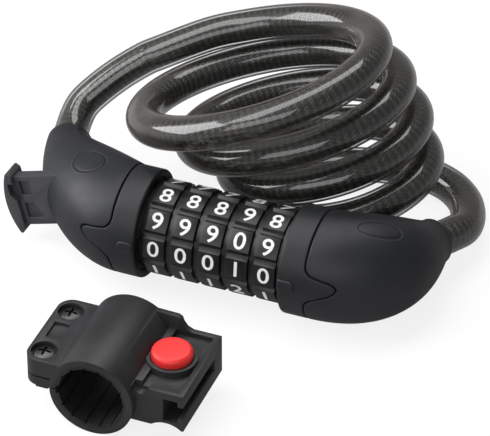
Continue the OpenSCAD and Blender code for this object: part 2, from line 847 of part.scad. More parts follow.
module clamp_nuts() color([0.6, 0.6, 0.62]) placed() bracket_frame() {
    nut_h = 3;
    for (y = screw_ys)
        translate([screw_x, y,
                   clamp_z - clamp_split / 2 - flange_bottom - nut_h])
            difference() {
                cylinder(h = nut_h, r = screw_d, $fn = 6);
                translate([0, 0, -over])
                    cylinder(h = nut_h + 2 * over,
                             r = screw_d / 2 + seat_fit);
            }
}

left_cap();
left_collar();
left_plug();
left_cross_pin();
left_ferrule();
mount_rail();
end_disc();
locking_pin();
right_cap();
right_collar();
right_plug();
right_cross_pin();
right_ferrule();
core_sleeve();
retaining_ring();
side_washer();
dial_1();
dial_2();
dial_3();
dial_4();
dial_5();
combination_ring_1();
combination_ring_2();
combination_ring_3();
combination_ring_4();
combination_ring_5();
cable_coil();
cable_lead_left();
cable_lead_right();
clamp_body();
clamp_liner();
clamp_screws();
clamp_nuts();
release_button();
socket_latch();
button_spring();
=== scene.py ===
import json
from functools import partialmethod
from math import cos, dist, hypot, pi, radians, sin, sqrt, tau

import bmesh
import bpy
from bpy.props import (FloatProperty, FloatVectorProperty, IntProperty,
                       PointerProperty)
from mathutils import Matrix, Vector
from mathutils.bvhtree import BVHTree

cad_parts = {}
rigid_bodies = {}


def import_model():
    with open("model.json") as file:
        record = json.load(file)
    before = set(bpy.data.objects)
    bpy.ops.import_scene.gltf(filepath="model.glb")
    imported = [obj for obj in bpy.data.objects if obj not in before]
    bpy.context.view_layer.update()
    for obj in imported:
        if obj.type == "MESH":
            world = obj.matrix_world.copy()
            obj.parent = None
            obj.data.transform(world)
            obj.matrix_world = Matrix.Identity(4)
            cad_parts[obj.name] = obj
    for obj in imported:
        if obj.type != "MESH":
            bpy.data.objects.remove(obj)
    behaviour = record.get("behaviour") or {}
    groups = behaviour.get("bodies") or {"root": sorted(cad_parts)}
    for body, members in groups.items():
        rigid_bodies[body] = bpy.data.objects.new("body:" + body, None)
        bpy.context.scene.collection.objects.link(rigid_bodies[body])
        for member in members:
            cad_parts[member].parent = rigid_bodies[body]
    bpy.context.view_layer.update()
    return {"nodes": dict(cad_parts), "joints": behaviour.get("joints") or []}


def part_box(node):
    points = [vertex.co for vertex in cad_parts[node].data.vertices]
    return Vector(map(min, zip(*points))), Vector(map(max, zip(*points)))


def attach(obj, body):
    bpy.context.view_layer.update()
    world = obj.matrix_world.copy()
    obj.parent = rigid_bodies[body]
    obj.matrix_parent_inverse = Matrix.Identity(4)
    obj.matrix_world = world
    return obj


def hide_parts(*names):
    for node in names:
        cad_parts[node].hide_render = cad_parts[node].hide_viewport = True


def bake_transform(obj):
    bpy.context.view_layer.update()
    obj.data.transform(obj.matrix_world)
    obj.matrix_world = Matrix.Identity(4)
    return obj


bl_info = {
    "name": "Cable lock",
    "version": (1, 0, 0),
    "blender": (4, 5, 0),
    "location": "3D View > Sidebar > Cable Lock",
    "description": "Dresses the coiled cable lock and its tube bracket",
    "category": "Object",
}

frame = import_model()

MM = 0.001
JOINTS = {j["name"]: j for j in frame["joints"]}
AXIS = Vector(JOINTS["dial_3_turn"]["pos_m"])

# Sizes of the lock in millimetres, measured from the middle of dial 3
BARREL_R = 18.5
NECK_R = 8.0
CABLE_R = 6.0
COLLAR_W = 8.8
COLLAR_BORE_R = 16.3
DIAL_COUNT = 5

# How far the reading line is turned up from the front, in degrees
INDEX_ROLL = 7.0

# In degrees: sharper edges are rounded, or stay sharp in the shading
SHARP_EDGE, SHARP_SHADE = 32, 40

# The camera looks this far to the right of dial 3 and above it
LOOK_RIGHT, LOOK_UP = 7.33, 7.23

# The floor's own light, its extra where it is seen, and its share there;
# then the room's own light and its extra where it is seen
FLOOR_LIGHT, FLOOR_SHOWN, FLOOR_SHARE = 0.2, 0.92, 0.74
ROOM_LIGHT, ROOM_SHOWN = 0.2, 0.8

# The soft lamps: name, place, size in metres and watts
LAMPS = (("Left softbox", (-720, -160, 360), (0.72, 0.6), 6.6),
         ("Top softbox", (-170, 110, 760), (1.3, 0.46), 5.6),
         ("Front softbox", (60, -760, 420), (0.9, 0.45), 2.2))
LAMPS_AIM = (0, 30, 10)


# ---- small helpers ----

def place(point):
    """A point given in millimetres from the middle of dial 3, in metres."""
    return AXIS + Vector(point) * MM


def unit(vector):
    return Vector(vector).normalized()


def through(points, steps):
    """A smooth line through given points."""
    line = []
    last = len(points) - 1
    for i in range(last):
        a, b = Vector(points[max(i - 1, 0)]), Vector(points[i])
        c, d = Vector(points[i + 1]), Vector(points[min(i + 2, last)])
        for k in range(steps):
            u = k / steps
            line.append(0.5 * (2 * b + (c - a) * u
                               + (2 * a - 5 * b + 4 * c - d) * u * u
                               + (3 * b - a - 3 * c + d) * u ** 3))
    line.append(Vector(points[last]))
    return line


def new_object(name, data):
    piece = bpy.data.objects.new(name, data)
    bpy.context.scene.collection.objects.link(piece)
    return piece


def mesh_from(name, points, faces):
    mesh = bpy.data.meshes.new(name)
    mesh.from_pydata([tuple(p) for p in points], [], faces)
    mesh.validate()
    mesh.polygons.foreach_set("use_smooth", [True] * len(mesh.polygons))
    mesh.update()
    return mesh


def closed_grid(rows, ends=True):
    """Faces of rows of points that close round; fans may close the ends."""
    points = [p for row in rows for p in row]
    n = len(rows[0])
    faces = []
    for row in range(0, (len(rows) - 1) * n, n):
        for j in range(n):
            k = (j + 1) % n
            faces.append((row + j, row + k, row + n + k, row + n + j))
    for start in (0, (len(rows) - 1) * n) if ends else ():
        hub = len(points)
        ring = range(start, start + n)
        points.append(sum((Vector(points[q]) for q in ring), Vector()) / n)
        for j in range(n):
            a, b = start + j, start + (j + 1) % n
            faces.append((a, b, hub) if start else (b, a, hub))
    return points, faces


def outward(mesh):
    work = bmesh.new()
    work.from_mesh(mesh)
    bmesh.ops.remove_doubles(work, verts=work.verts, dist=1e-7)
    bmesh.ops.recalc_face_normals(work, faces=work.faces)
    work.to_mesh(mesh)
    work.free()
    mesh.update()


def solid_from(name, rows, ends=True, put=place):
    """A closed mesh through rows of points, which put() turns to metres."""
    points, faces = closed_grid([[put(p) for p in row] for row in rows], ends)
    mesh = mesh_from(name, points, faces)
    outward(mesh)
    return mesh


def surface(mesh):
    """The faces of a mesh, ready for rays."""
    return BVHTree.FromPolygons([v.co for v in mesh.vertices],
                                [tuple(p.vertices) for p in mesh.polygons])


def final_mesh(piece):
    """A new mesh of a piece, with its modifiers or its text worked out."""
    graph = bpy.context.evaluated_depsgraph_get()
    return bpy.data.meshes.new_from_object(piece.evaluated_get(graph))


def apply_modifiers(piece):
    made = final_mesh(piece)
    piece.modifiers.clear()
    old = piece.data
    piece.data = made
    made.name = piece.name
    bpy.data.meshes.remove(old)


def joined(name, meshes):
    """One mesh made of several."""
    work = bmesh.new()
    for mesh in meshes:
        work.from_mesh(mesh)
    whole = bpy.data.meshes.new(name)
    work.to_mesh(whole)
    work.free()
    for mesh in meshes:
        bpy.data.meshes.remove(mesh)
    return whole


def dress(piece, material, body=None, replaces=()):
    """Gives a finished piece its material and its body, and hides the CAD
    nodes that it replaces.
    """
    if material:
        piece.data.materials.clear()
        piece.data.materials.append(material)
    if body:
        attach(piece, body)
    if replaces:
        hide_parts(*replaces)


def shade_smooth(piece, sharp):
    """Smooth shading, but for edges sharper than this many degrees."""
    piece.data.shade_smooth()
    piece.data.set_sharp_from_angle(angle=radians(sharp))


def rounded_copy(name, node, width, segments=2):
    """A copy of a CAD node's mesh, cleaned, with its sharp edges rounded."""
    work = bmesh.new()
    work.from_mesh(frame["nodes"][node].data)
    bmesh.ops.remove_doubles(work, verts=work.verts, dist=2e-6)
    bmesh.ops.dissolve_limit(work, angle_limit=radians(0.6),
                             verts=work.verts, edges=work.edges)
    mesh = bpy.data.meshes.new(name)
    work.to_mesh(mesh)
    work.free()
    piece = new_object(name, mesh)
    bevel = piece.modifiers.new("Rounded edges", "BEVEL")
    bevel.width = width * MM
    bevel.segments = segments
    bevel.limit_method = "ANGLE"
    bevel.angle_limit = radians(SHARP_EDGE)
    bevel.miter_outer = "MITER_ARC"
    apply_modifiers(piece)
    shade_smooth(piece, SHARP_SHADE)
    return piece


def colour(value):
    """Three numbers as a colour; a socket is left as it is."""
    return value if isinstance(value, Sock) else (*value, 1.0)


# ---- shader and geometry trees ----

class Sock:
    """A node's output that takes part in sums."""

    def __init__(self, tree, socket):
        self.tree = tree
        self.socket = socket

    def of(self, name):
        return Sock(self.tree, self.socket.node.outputs[name])

    def math(self, operation, *others):
        return self.tree.node("ShaderNodeMath", dict(enumerate(
            (self,) + others)), operation=operation)

    def __rsub__(self, other):
        return (self * -1.0) + other

    def between(self, low, high, start=0.0, end=1.0):
        """Goes smoothly from start to end as this goes from low to high."""
        return self.tree.node("ShaderNodeMapRange", {
            0: self, 1: low, 2: high, 3: start, 4: end},
            interpolation_type="SMOOTHSTEP")


for method, operation in (
        ("__add__", "ADD"), ("__sub__", "SUBTRACT"), ("__mul__", "MULTIPLY"),
        ("__truediv__", "DIVIDE"), ("__mod__", "FLOORED_MODULO"),
        ("__gt__", "GREATER_THAN"), ("__lt__", "LESS_THAN"),
        ("__abs__", "ABSOLUTE"), ("floor", "FLOOR"), ("fract", "FRACT"),
        ("sine", "SINE"), ("cosine", "COSINE"), ("root", "SQRT"),
        ("most", "MAXIMUM")):
    setattr(Sock, method, partialmethod(Sock.math, operation))


class Tree:
    """Builds nodes from the values or links of sockets and settings."""

    def __init__(self, tree):
        self.tree = tree

    def node(self, kind, sockets=None, **settings):
        made = self.tree.nodes.new(kind)
        for key, value in settings.items():
            setattr(made, key, value)
        for key, value in (sockets or {}).items():
            if isinstance(value, Sock):
                self.tree.links.new(value.socket, made.inputs[key])
            else:
                made.inputs[key].default_value = value
        shown = [s for s in made.outputs if s.enabled]
        return Sock(self, (shown or list(made.outputs))[0])

    def vector(self, x=0.0, y=0.0, z=0.0):
        return self.node("ShaderNodeCombineXYZ", {0: x, 1: y, 2: z})

    def feed(self, value, into, name):
        """One more link into a socket that takes several."""
        self.tree.links.new(value.socket, into.socket.node.inputs[name])


class Finish(Tree):
    """A material round one Principled shader."""

    def __init__(self, name, **fixed):
        self.material = bpy.data.materials.new(name)
        self.material.use_nodes = True
        super().__init__(self.material.node_tree)
        self.tree.nodes.clear()
        self.shader = self.tree.nodes.new("ShaderNodeBsdfPrincipled")
        self.output = self.tree.nodes.new("ShaderNodeOutputMaterial")
        self.tree.links.new(self.shader.outputs[0], self.output.inputs[0])
        for key, value in fixed.items():
            self.shader.inputs[key.replace("_", " ")].default_value = value

    def set(self, **links):
        for key, value in links.items():
            into = self.shader.inputs[key.replace("_", " ")]
            self.tree.links.new(value.socket, into)

    def position(self):
        return self.node("ShaderNodeTexCoord").of("Object")

    def noise(self, scale, detail=2.0, rough=0.5, stretch=None):
        vector = self.position()
        if stretch:
            vector = self.node("ShaderNodeMapping",
                               {"Vector": vector, "Scale": stretch})
        return self.node("ShaderNodeTexNoise", {
            "Vector": vector, "Scale": scale, "Detail": detail,
            "Roughness": rough})

    def colours(self, amount, first, second):
        return self.node("ShaderNodeMix", {
            0: amount, 6: colour(first), 7: colour(second)}, data_type="RGBA")

    def shades(self, amount, tint, low, high):
        """From a low to a high share of one tint."""
        return self.colours(amount, [c * low for c in tint],
                            [c * high for c in tint])

    def bump(self, height, distance):
        return self.node("ShaderNodeBump", {
            "Height": height, "Distance": distance, "Strength": 1.0})


# ---- settings ----

def length_setting(name, description, default):
    return FloatProperty(name=name, description=description,
                         default=default, unit="LENGTH", precision=5)


def colour_setting(name, description, default):
    return FloatVectorProperty(name=name, description=description,
                               default=default, subtype="COLOR", size=3,
                               min=0, max=1)


class LockSettings(bpy.types.PropertyGroup):
    jacket_radius: length_setting(
        "Jacket radius", "Radius of the clear jacket", CABLE_R * MM)
    braid_radius: length_setting(
        "Braid radius", "Radius of the braided core", 5.0 * MM)
    braid_strands: IntProperty(
        name="Braid strands", description="Strands round the core, each way",
        default=26, min=8, max=40)
    jacket_colour: colour_setting(
        "Jacket colour", "Tint of the vinyl jacket", (0.082, 0.071, 0.065))
    housing_colour: colour_setting(
        "Housing colour", "Colour of the caps and collars",
        (0.0135, 0.0145, 0.018))
    dial_colour: colour_setting(
        "Dial colour", "Colour of the number dials",
        (0.008, 0.0083, 0.0092))
    digit_colour: colour_setting(
        "Digit colour", "Colour of the digits", (0.86, 0.86, 0.85))
    digit_height: length_setting(
        "Digit height", "Height of a digit on its pad", 5.8 * MM)
    button_colour: colour_setting(
        "Button colour", "Colour of the release button", (0.86, 0.03, 0.028))
    seam_gap: length_setting(
        "Seam gap", "Half the width of the open seams", 0.26 * MM)


class StageSettings(bpy.types.PropertyGroup):
    azimuth: FloatProperty(
        name="Azimuth", description="Camera's turn round the lock",
        default=radians(21.5), subtype="ANGLE")
    elevation: FloatProperty(
        name="Elevation", description="Camera's height above level",
        default=radians(37.0), subtype="ANGLE")
    distance: length_setting(
        "Distance", "From the camera to the lock", 1.2)
    lens: FloatProperty(
        name="Lens", description="Focal length in millimetres",
        default=267.1)
    backdrop: colour_setting(
        "Backdrop", "Colour of the floor and backdrop", (1.0, 1.0, 1.0))


# ---- cable ----

# Where the cable leaves the right cap, and the given routes between
# the two necks and the coil
LEFT_LEAD = [(-68.4, 26.6, -1.86), (-69.9, 33.4, -2.34),
             (-72.6, 42.6, -1.4), (-72.6, 50.6, 2.1), (-69.07, 55.46, 6.1),
             (-62.93, 61.34, 11.1), (-55.98, 66.42, 15.6),
             (-50.88, 69.1, 18.1)]
RIGHT_LEAD = [(59.4, 25.1, -4.88), (62.4, 32.39, -6.3), (66.2, 40.4, -7.7),
              (68, 48, -9.7), (66.5, 57, -11.4), (62, 66, -12.5),
              (54, 73, -12.9), (43, 76, -12.6), (31, 74, -12.0),
              (22, 71, -11.4)]


def coil_point(turn):
    """A point of the coil, whose rings shrink and sink as it goes down.

    The sizes, leans and places of the rings are curves in t, the turns from
    the coil's middle, and hold in a frame that faces the camera.
    """
    cosine, sine = 0.9304, 0.3665
    t = turn - 2.5
    radius = 35.04 - 4.91 * t
    lean_x, lean_y = 0.225 - 0.029 * t, -0.167 + 0.047 * t
    x = -cos(tau * turn) * radius / sqrt(1 + lean_x ** 2)
    y = 0.88 * sin(tau * turn) * radius / sqrt(1 + lean_y ** 2)
    z = lean_x * x + lean_y * y
    x += 23.5 + 9.45 * t - 1.15 * t * t
    y += 46.0 - 3.94 * t - 1.54 * t * t
    z += 28.8 - 11.16 * t + 0.25 * t * t
    z += 0.78 * min(max((z - 6) / 20, 0), 1) - 19.4
    x += LOOK_RIGHT
    return cosine * x - sine * y, sine * x + cosine * y, z


def cable_line():
    """The cable's middle line from end to end, through lead, coil, lead."""
    first, last, per_turn = 0.22, 4.24, 24
    count = int((last - first) * per_turn)
    coil = [coil_point(first + (last - first) * i / count)
            for i in range(count + 1)]
    return through(LEFT_LEAD + coil + RIGHT_LEAD[::-1], 6)


def tube(name, line, radius, sides):
    """A closed tube along a line; its map is in lengths of its girth."""
    girth = tau * radius
    rows, run = [], [0.0]
    angles = [tau * j / sides for j in range(sides)]
    side = Vector((0, 0, 1))
    for i, p in enumerate(line):
        ahead = unit(line[min(i + 1, len(line) - 1)] - line[max(i - 1, 0)])
        side = unit(side - ahead * ahead.dot(side))
        other = ahead.cross(side)
        rows.append([place(p + radius * (cos(a) * side + sin(a) * other))
                     for a in angles])
        if i:
            run.append(run[-1] + (p - line[i - 1]).length)
    points, faces = closed_grid(rows)
    mesh = mesh_from(name, points, faces)
    chart = mesh.uv_layers.new(name="Wrap")
    for face in mesh.polygons:
        first = face.vertices[0]
        for corner, vertex in zip(face.loop_indices, face.vertices):
            row, col = divmod(vertex, sides)
            if vertex >= len(rows) * sides:
                row, col = min(first // sides, len(rows) - 1), 0
            around = col / sides
            if len(face.vertices) == 4 and first % sides == sides - 1 \
                    and col == 0:
                around = 1.0
            chart.data[corner].uv = (around, run[row] / girth)
    return new_object(name, mesh)


def braid_finish(settings):
    """Two sets of strands, laid over and under each other in a twill, with
    painted shade towards each strand's edges.
    """
    f = Finish("Braided core", Coat_Weight=1.0, Coat_Roughness=0.08,
               Coat_IOR=1.75)
    chart = f.node("ShaderNodeSeparateXYZ",
                   {0: f.node("ShaderNodeTexCoord").of("UV")})
    round_, along = chart.of("X"), chart.of("Y")
    n = float(settings.braid_strands)
    left, right = (round_ + along) * n, (round_ - along) * n
    over = ((left.floor() - right.floor()) % 4.0) < 1.5

    def strand(turned, seed):
        crown = (turned.fract() * pi).sine()
        tone = f.node("ShaderNodeTexWhiteNoise",
                      {"W": turned.floor() + seed}, noise_dimensions="1D")
        return crown, tone

    crown_l, tone_l = strand(left, 3.3)
    crown_r, tone_r = strand(right, 71.7)
    crown = crown_l * over + crown_r * (1 - over)
    tone = tone_l * over + tone_r * (1 - over)
    worn = f.noise(420.0, 3.0, 0.65)
    fibre = f.noise(3000.0, 1.0)
    light = (over * 0.5 + tone * 0.35 + worn * 0.7 - 0.5).between(0.1, 0.9)
    base = f.colours(light, (0.005, 0.005, 0.005), (0.08, 0.074, 0.052))
    # Painted shade: the colour goes to near black towards each strand's edges,
    # in the grooves between strands.
    f.set(Base_Color=f.colours(crown.between(0.15, 0.85),
                               (0.004, 0.004, 0.004), base),
          Roughness=worn.between(0.2, 0.8, 0.26, 0.5),
          Normal=f.bump(crown + fibre * 0.15, 0.12 * MM))
    return f.material


def jacket_finish(settings):
    """Clear grey vinyl: glossy, thicker to the eye at its edges."""
    f = Finish("Clear jacket", Coat_Weight=1.0, Coat_Roughness=0.05,
               Coat_IOR=1.6)
    edge = f.node("ShaderNodeLayerWeight", {"Blend": 0.5}).of("Facing")
    cloud = f.noise(90.0, 3.0)
    f.set(Base_Color=f.shades(cloud.between(0.3, 0.7),
                              settings.jacket_colour, 0.8, 1.15),
          Alpha=edge.between(0.38, 0.68, 0.05, 0.88) + (cloud - 0.5) * 0.06,
          Roughness=f.noise(260.0).between(0.3, 0.7, 0.12, 0.24),
          Normal=f.bump(f.noise(220.0), 0.03 * MM))
    return f.material


class LOCK_OT_cable(bpy.types.Operator):
    """Lays the coiled cable: a braided core in a clear jacket"""
    bl_idname = "lock.add_cable"
    bl_label = "Cable"

    def execute(self, context):
        s = context.scene.lock_settings
        line = cable_line()
        jacket = tube("cable_jacket", line, s.jacket_radius / MM, 32)
        core = tube("cable_braid", line, s.braid_radius / MM, 28)
        dress(jacket, jacket_finish(s), None,
              ["cable_coil", "cable_lead_left", "cable_lead_right"])
        dress(core, braid_finish(s))
        for piece in (jacket, core):
            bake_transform(piece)
        return {"FINISHED"}


# ---- caps and collars ----

class Elbow:
    """The form of one cap and its collar, in millimetres from dial 3.

    A place on the skin is given by its distance x along the axis and by its
    arc, up round the barrel from the reading line. The elbow bends from the
    seam to its mouth with two handles, holds its width for a while, and ends
    at a lean, rolled about the axis. Its plug has an x, a turn round the
    axis, a swing, a length and a width. Angles are in degrees.
    """

    # The seam's tongue, as (arc, distance past the seam)
    TONGUE = [(14, 0), (11.5, 0), (9.4, 0), (7.4, 0.25), (6.3, 0.9),
              (5.2, 2.3), (4.3, 6.0), (3.5, 9.4), (2.3, 10.9), (1.2, 10.9),
              (-0.7, 9.25), (-2.3, 6.2), (-4.0, 2.75), (-5.6, 0.9),
              (-7.5, 0.25), (-9.5, 0), (-11.5, 0), (-14, 0)]

    # The seam's rounded edge, as (past the gap, above the skin)
    EDGE = ((0.0, -0.24), (0.09, -0.1), (0.24, -0.02), (0.42, 0.0))

    # The collar's rounded front, as (past the front, above the skin)
    FRONT = ((0.0, -0.75), (0.05, -0.45), (0.16, -0.2), (0.35, -0.06),
             (0.7, 0.0))

    # The mouth's lip, as (past the mouth, radius), and its bore
    LIP = ((0.3, 7.93), (0.6, 7.7), (0.85, 7.25), (0.92, 6.7), (0.86, 6.3),
           (0.6, 6.14), (-2.5, 6.12))

    def __init__(self, side, mouth, handles, hold, lean, roll, plug):
        self.side = side
        self.name, self.body = (("right", "fixed_half") if side > 0
                                else ("left", "pin_half"))
        low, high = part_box(self.name + "_collar")
        near = low[0] if side > 0 else high[0]
        self.start = abs(near - AXIS.x) / MM
        self.seam = self.start + COLLAR_W
        self.lean = (sin(radians(lean)), cos(radians(lean)))
        self.roll = radians(roll)
        self.hold = hold
        (self.plug_x, self.plug_turn, self.plug_swing, self.plug_l,
         self.plug_w) = plug
        self.mouth = mouth
        self.line = [(self.seam, 0), (self.seam + handles[0], 0),
                     tuple(m - handles[1] * q
                           for m, q in zip(mouth, self.lean)), mouth]

    def centre(self, u):
        v = 1 - u
        return tuple(v ** 3 * a + 3 * v * v * u * b + 3 * v * u * u * c
                     + u ** 3 * d for a, b, c, d in zip(*self.line))

    def heading(self, u):
        v = 1 - u
        x, y = (v * v * (b - a) + 2 * v * u * (c - b) + u * u * (d - c)
                for a, b, c, d in zip(*self.line))
        return x / hypot(x, y), y / hypot(x, y)

    def radius(self, u):
        return NECK_R + (BARREL_R - NECK_R) * (
            0.5 + 0.5 * cos(pi * u ** self.hold))

    def turned(self, x, y, z):
        """From the elbow's own plane to the lock's frame."""
        c, s = cos(self.roll), sin(self.roll)
        return Vector((self.side * x, y * c + z * s, -y * s + z * c))

    def ring(self, centre, heading, radius, angle):
        """A point of a ring across the elbow, never behind the seam."""
        across = radius * cos(angle)
        return self.turned(max(centre[0] - across * heading[1],
                               self.seam + 0.02),
                           centre[1] + across * heading[0],
                           radius * sin(angle))

    def skin(self, u, angle, lift=0.0):
        return self.ring(self.centre(u), self.heading(u),
                         self.radius(u) + lift, angle)

    def angle(self, arc):
        return pi + self.roll - radians(INDEX_ROLL) - arc / BARREL_R

    def reach(self, x, angle):
        """How far along the elbow its skin lies at x."""
        def past(u):
            c, h = self.centre(u), self.heading(u)
            return c[0] - self.radius(u) * cos(angle) * h[1] - x
        high, step = 0.62, 0.03
        while high > step and past(high) > 0:
            high -= step
        low, high = max(high - step, 0.0), high + step
        for _ in range(16):
            mid = (low + high) / 2
            low, high = (mid, high) if past(mid) < 0 else (low, mid)
        return (low + high) / 2

    def at(self, x, arc, lift=0.0):
        """The point of the skin at x and arc, raised by lift."""
        angle = self.angle(arc)
        if x > self.seam + 0.03:
            return self.skin(self.reach(x, angle), angle, lift)
        r = BARREL_R + lift
        return self.turned(x, r * cos(angle), r * sin(angle))

    def seam_points(self):
        """Points of the seam with their outward ways: fine at the tongue."""
        fine_step, coarse_step = 0.38, 1.5
        line = [(p.x, p.y) for p in through(
            [(a, x, 0) for a, x in self.TONGUE], 9)]
        fine = [line[0]]
        for p in line[1:]:
            if dist(p, fine[-1]) > fine_step:
                fine.append(p)
        left = tau * BARREL_R - (fine[0][0] - fine[-1][0])
        coarse = int(left / coarse_step)
        for i in range(1, coarse):
            fine.append((fine[-1][0] - left / coarse, 0.0))
        out = []
        for i, p in enumerate(fine):
            a = fine[i - 1] if i else p
            b = fine[i + 1] if i + 1 < len(fine) else p
            t = unit((b[0] - a[0], b[1] - a[1], 0))
            out.append((p, (t.y, -t.x)))
        return out

    def along_seam(self, seam, off, lift):
        """A row beside the seam, off it by this much to the cap's side."""
        return [self.at(self.seam + p[1] + off * n[1], p[0] + off * n[0],
                        lift) for p, n in seam]

    def cap_mesh(self, gap):
        """The cap: in over the seam's edge, along its skin, into its bore."""
        seam = self.seam_points()
        clear = gap + 0.5
        rows = [self.along_seam(seam, off, lift) for off, lift in (
            (gap, -0.9), *((gap + e, lift) for e, lift in self.EDGE),
            (clear, 0.0))]
        starts = []
        for p, n in seam:
            a = self.angle(p[0] + clear * n[0])
            starts.append((self.reach(self.seam + p[1] + clear * n[1], a), a))
        count = 46
        for i in range(1, count + 1):
            w = i / count
            rows.append([self.skin(u + (1 - u) * w, a) for u, a in starts])
        ahead = self.lean
        for out, r in self.LIP:
            centre = tuple(m + out * q for m, q in zip(self.mouth, ahead))
            rows.append([self.ring(centre, ahead, r, a) for _, a in starts])
        return solid_from(self.name + "_shell", rows)

    def collar_mesh(self, gap):
        """The collar: a ring from its rounded front to the seam's step."""
        seam = self.seam_points()
        x0 = self.start
        rows = [[self.at(x0 + x, p[0], lift) for p, _ in seam] for x, lift in
                ((0, COLLAR_BORE_R - BARREL_R), *self.FRONT)]
        front = self.FRONT[-1][0]
        flat = self.seam - x0 - front
        edge = gap + self.EDGE[-1][0]
        for i in range(1, 8):
            w = i / 8
            rows.append([self.at(x0 + front + w * (flat + p[1] - edge * n[1]),
                                 p[0] - w * edge * n[0]) for p, n in seam])
        step = 0.6
        for off, lift in (*((-gap - e, lift) for e, lift in self.EDGE[::-1]),
                          (-gap, -1.0), (step, -1.0), (step, -2.0)):
            rows.append(self.along_seam(seam, off, lift))
        rows.append(rows[0])
        return solid_from(self.name + "_ring", rows, False)

    def tab_mesh(self, length=6.0, width=3.8, rise=0.5):
        """The raised index tab, round at the end away from the dials."""
        root, half, turn = 0.25, width / 2, 14
        outline = [(root, half), ((length - half) / 2, half)]
        outline += [(length - half + half * sin(pi * i / turn),
                     half * cos(pi * i / turn)) for i in range(turn + 1)]
        outline += [((length - half) / 2, -half), (root, -half), (root, 0)]
        middle = (length + root) / 2
        rows = []
        for shrink, lift in ((-0.1, -0.15), (-0.03, 0.03), (0.03, 0.12),
                             (0.12, 0.65 * rise), (0.3, 0.88 * rise),
                             (0.55, rise), (0.9, rise), (1.5, rise)):
            row = []
            for x, arc in outline:
                dx, da = middle - x, -arc
                size = hypot(dx, da)
                row.append(self.at(self.start + x + shrink * dx / size,
                                   arc + shrink * da / size, lift))
            rows.append(row)
        return solid_from(self.name + "_tab", rows)

    def ferrule_mesh(self, first=0.62, last=0.9, radius=6.9, chamfer=0.5):
        """The crimped sleeve on the cable's end, inside the cap."""
        count, sides = 12, 48
        inset = (last - first) / count / 4
        span = last - first - 2 * inset
        rings = [(first, radius - chamfer)]
        rings += [(first + inset + i * span / count, radius)
                  for i in range(count + 1)]
        rings += [(last, radius - chamfer)]
        rows = [[self.ring(self.centre(u), self.heading(u), r,
                           tau * i / sides) for i in range(sides)]
                for u, r in rings]
        return solid_from(self.name + "_sleeve", rows)

    def plug_frame(self):
        """Centre, long way, short way and outward way of the blind plug."""
        turn, swing = map(radians, (self.plug_turn, self.plug_swing))
        out = self.turned(0, cos(turn), sin(turn))
        axis = Vector((1, 0, 0))
        long_way = (cos(swing) * axis
                    + self.side * sin(swing) * out.cross(axis))
        return (Vector((self.side * self.plug_x, 0, 0)), long_way,
                out.cross(long_way), out)

    def plug_mesh(self, shell):
        """A thin oval cover that follows the cap's skin."""
        skin = surface(shell)
        base, long_way, short, out = self.plug_frame()
        rows = []
        for scale, lift in ((1.0, -0.5), (1.0, -0.06), (0.985, 0.03),
                            (0.95, 0.08), (0.85, 0.1), (0.6, 0.1),
                            (0.3, 0.1), (0.08, 0.1)):
            row = []
            for i in range(72):
                t = tau * i / 72
                spot = (base + scale * self.plug_l / 2 * cos(t) * long_way
                        + scale * self.plug_w / 2 * sin(t) * short)
                hit = skin.ray_cast(place(spot + out * 45), -out)
                row.append(hit[0] + out * lift * MM)
            rows.append(row)
        return solid_from(self.name + "_plug", rows, put=Vector)


ELBOWS = (Elbow(1, (62.4, 33.0), (22, 8), 1.5, 22, 11,
                (53.2, 87, 32, 13.8, 6.0)),
          Elbow(-1, (70.1, 34.5), (8, 12), 1.45, 12, 4,
                (49.4, 79, 38, 13.4, 8.4)))


def housing_finish(settings, name, elbow=None):
    """Satin moulded plastic, with a fine open line round the blind plug and a
    painted highlight in a ring just outside it.
    """
    f = Finish(name, Specular_IOR_Level=0.42)
    tint = settings.housing_colour
    broad = f.noise(30.0, 3.0, 0.55)
    fine = f.noise(2400.0, 2.0, 0.6)
    rub = f.noise(150.0, 4.0, 0.65)
    base = f.shades(broad.between(0.3, 0.7), tint, 0.8, 1.25)
    height = fine * 0.55
    if elbow:
        centre, long_way, short, out = elbow.plug_frame()
        along = f.position()

        def part(way, size=1.0):
            """Distance from the plug's middle along one way."""
            dot = f.node("ShaderNodeVectorMath", {0: along, 1: tuple(way)},
                         operation="DOT_PRODUCT").of("Value")
            return (dot - place(centre).dot(way)) / (size * MM)

        a, b = elbow.plug_l / 2 + 0.1, elbow.plug_w / 2 + 0.1
        x, y = part(long_way, a), part(short, b)
        q = (x * x + y * y).root()
        slope = ((x / a) * (x / a) + (y / b) * (y / b)).root()
        away = abs(q * (q - 1) / slope.most(0.01))
        outer = part(out) > 4.0
        groove = away.between(0.36, 0.6, 1.0, 0.0) * outer
        # Painted highlight: a lighter ring just outside the open line,
        # standing for light on the plug's rounded edge.
        plug_rim_highlight = away.between(0.55, 0.7) * away.between(0.7, 0.95, 1.0, 0.0)
        base = f.colours(plug_rim_highlight * outer * 0.8, base, [c * 4 for c in tint])
        base = f.colours(groove * 0.9, base, (0.001, 0.001, 0.001))
        height = height - groove * 12.0
    f.set(Base_Color=base,
          Roughness=(broad * 0.12 + rub.between(0.35, 0.7) * 0.08
                     + fine * 0.06 + 0.36),
          Normal=f.bump(height, 0.02 * MM))
    return f.material


class LOCK_OT_caps(bpy.types.Operator):
    """Makes the two smooth elbows with their flush oval plugs"""
    bl_idname = "lock.add_caps"
    bl_label = "Caps"

    def execute(self, context):
        s = context.scene.lock_settings
        for elbow in ELBOWS:
            name = elbow.name
            shell = elbow.cap_mesh(s.seam_gap / MM)
            finish = housing_finish(s, name.title() + " housing", elbow)
            cap = new_object(name + "_cap_shell", shell)
            dress(cap, finish, elbow.body, [name + "_cap"])
            plug = new_object(name + "_plug_cover", elbow.plug_mesh(shell))
            dress(plug, housing_finish(s, name.title() + " plug"),
                  elbow.body, [name + "_plug"])
        return {"FINISHED"}


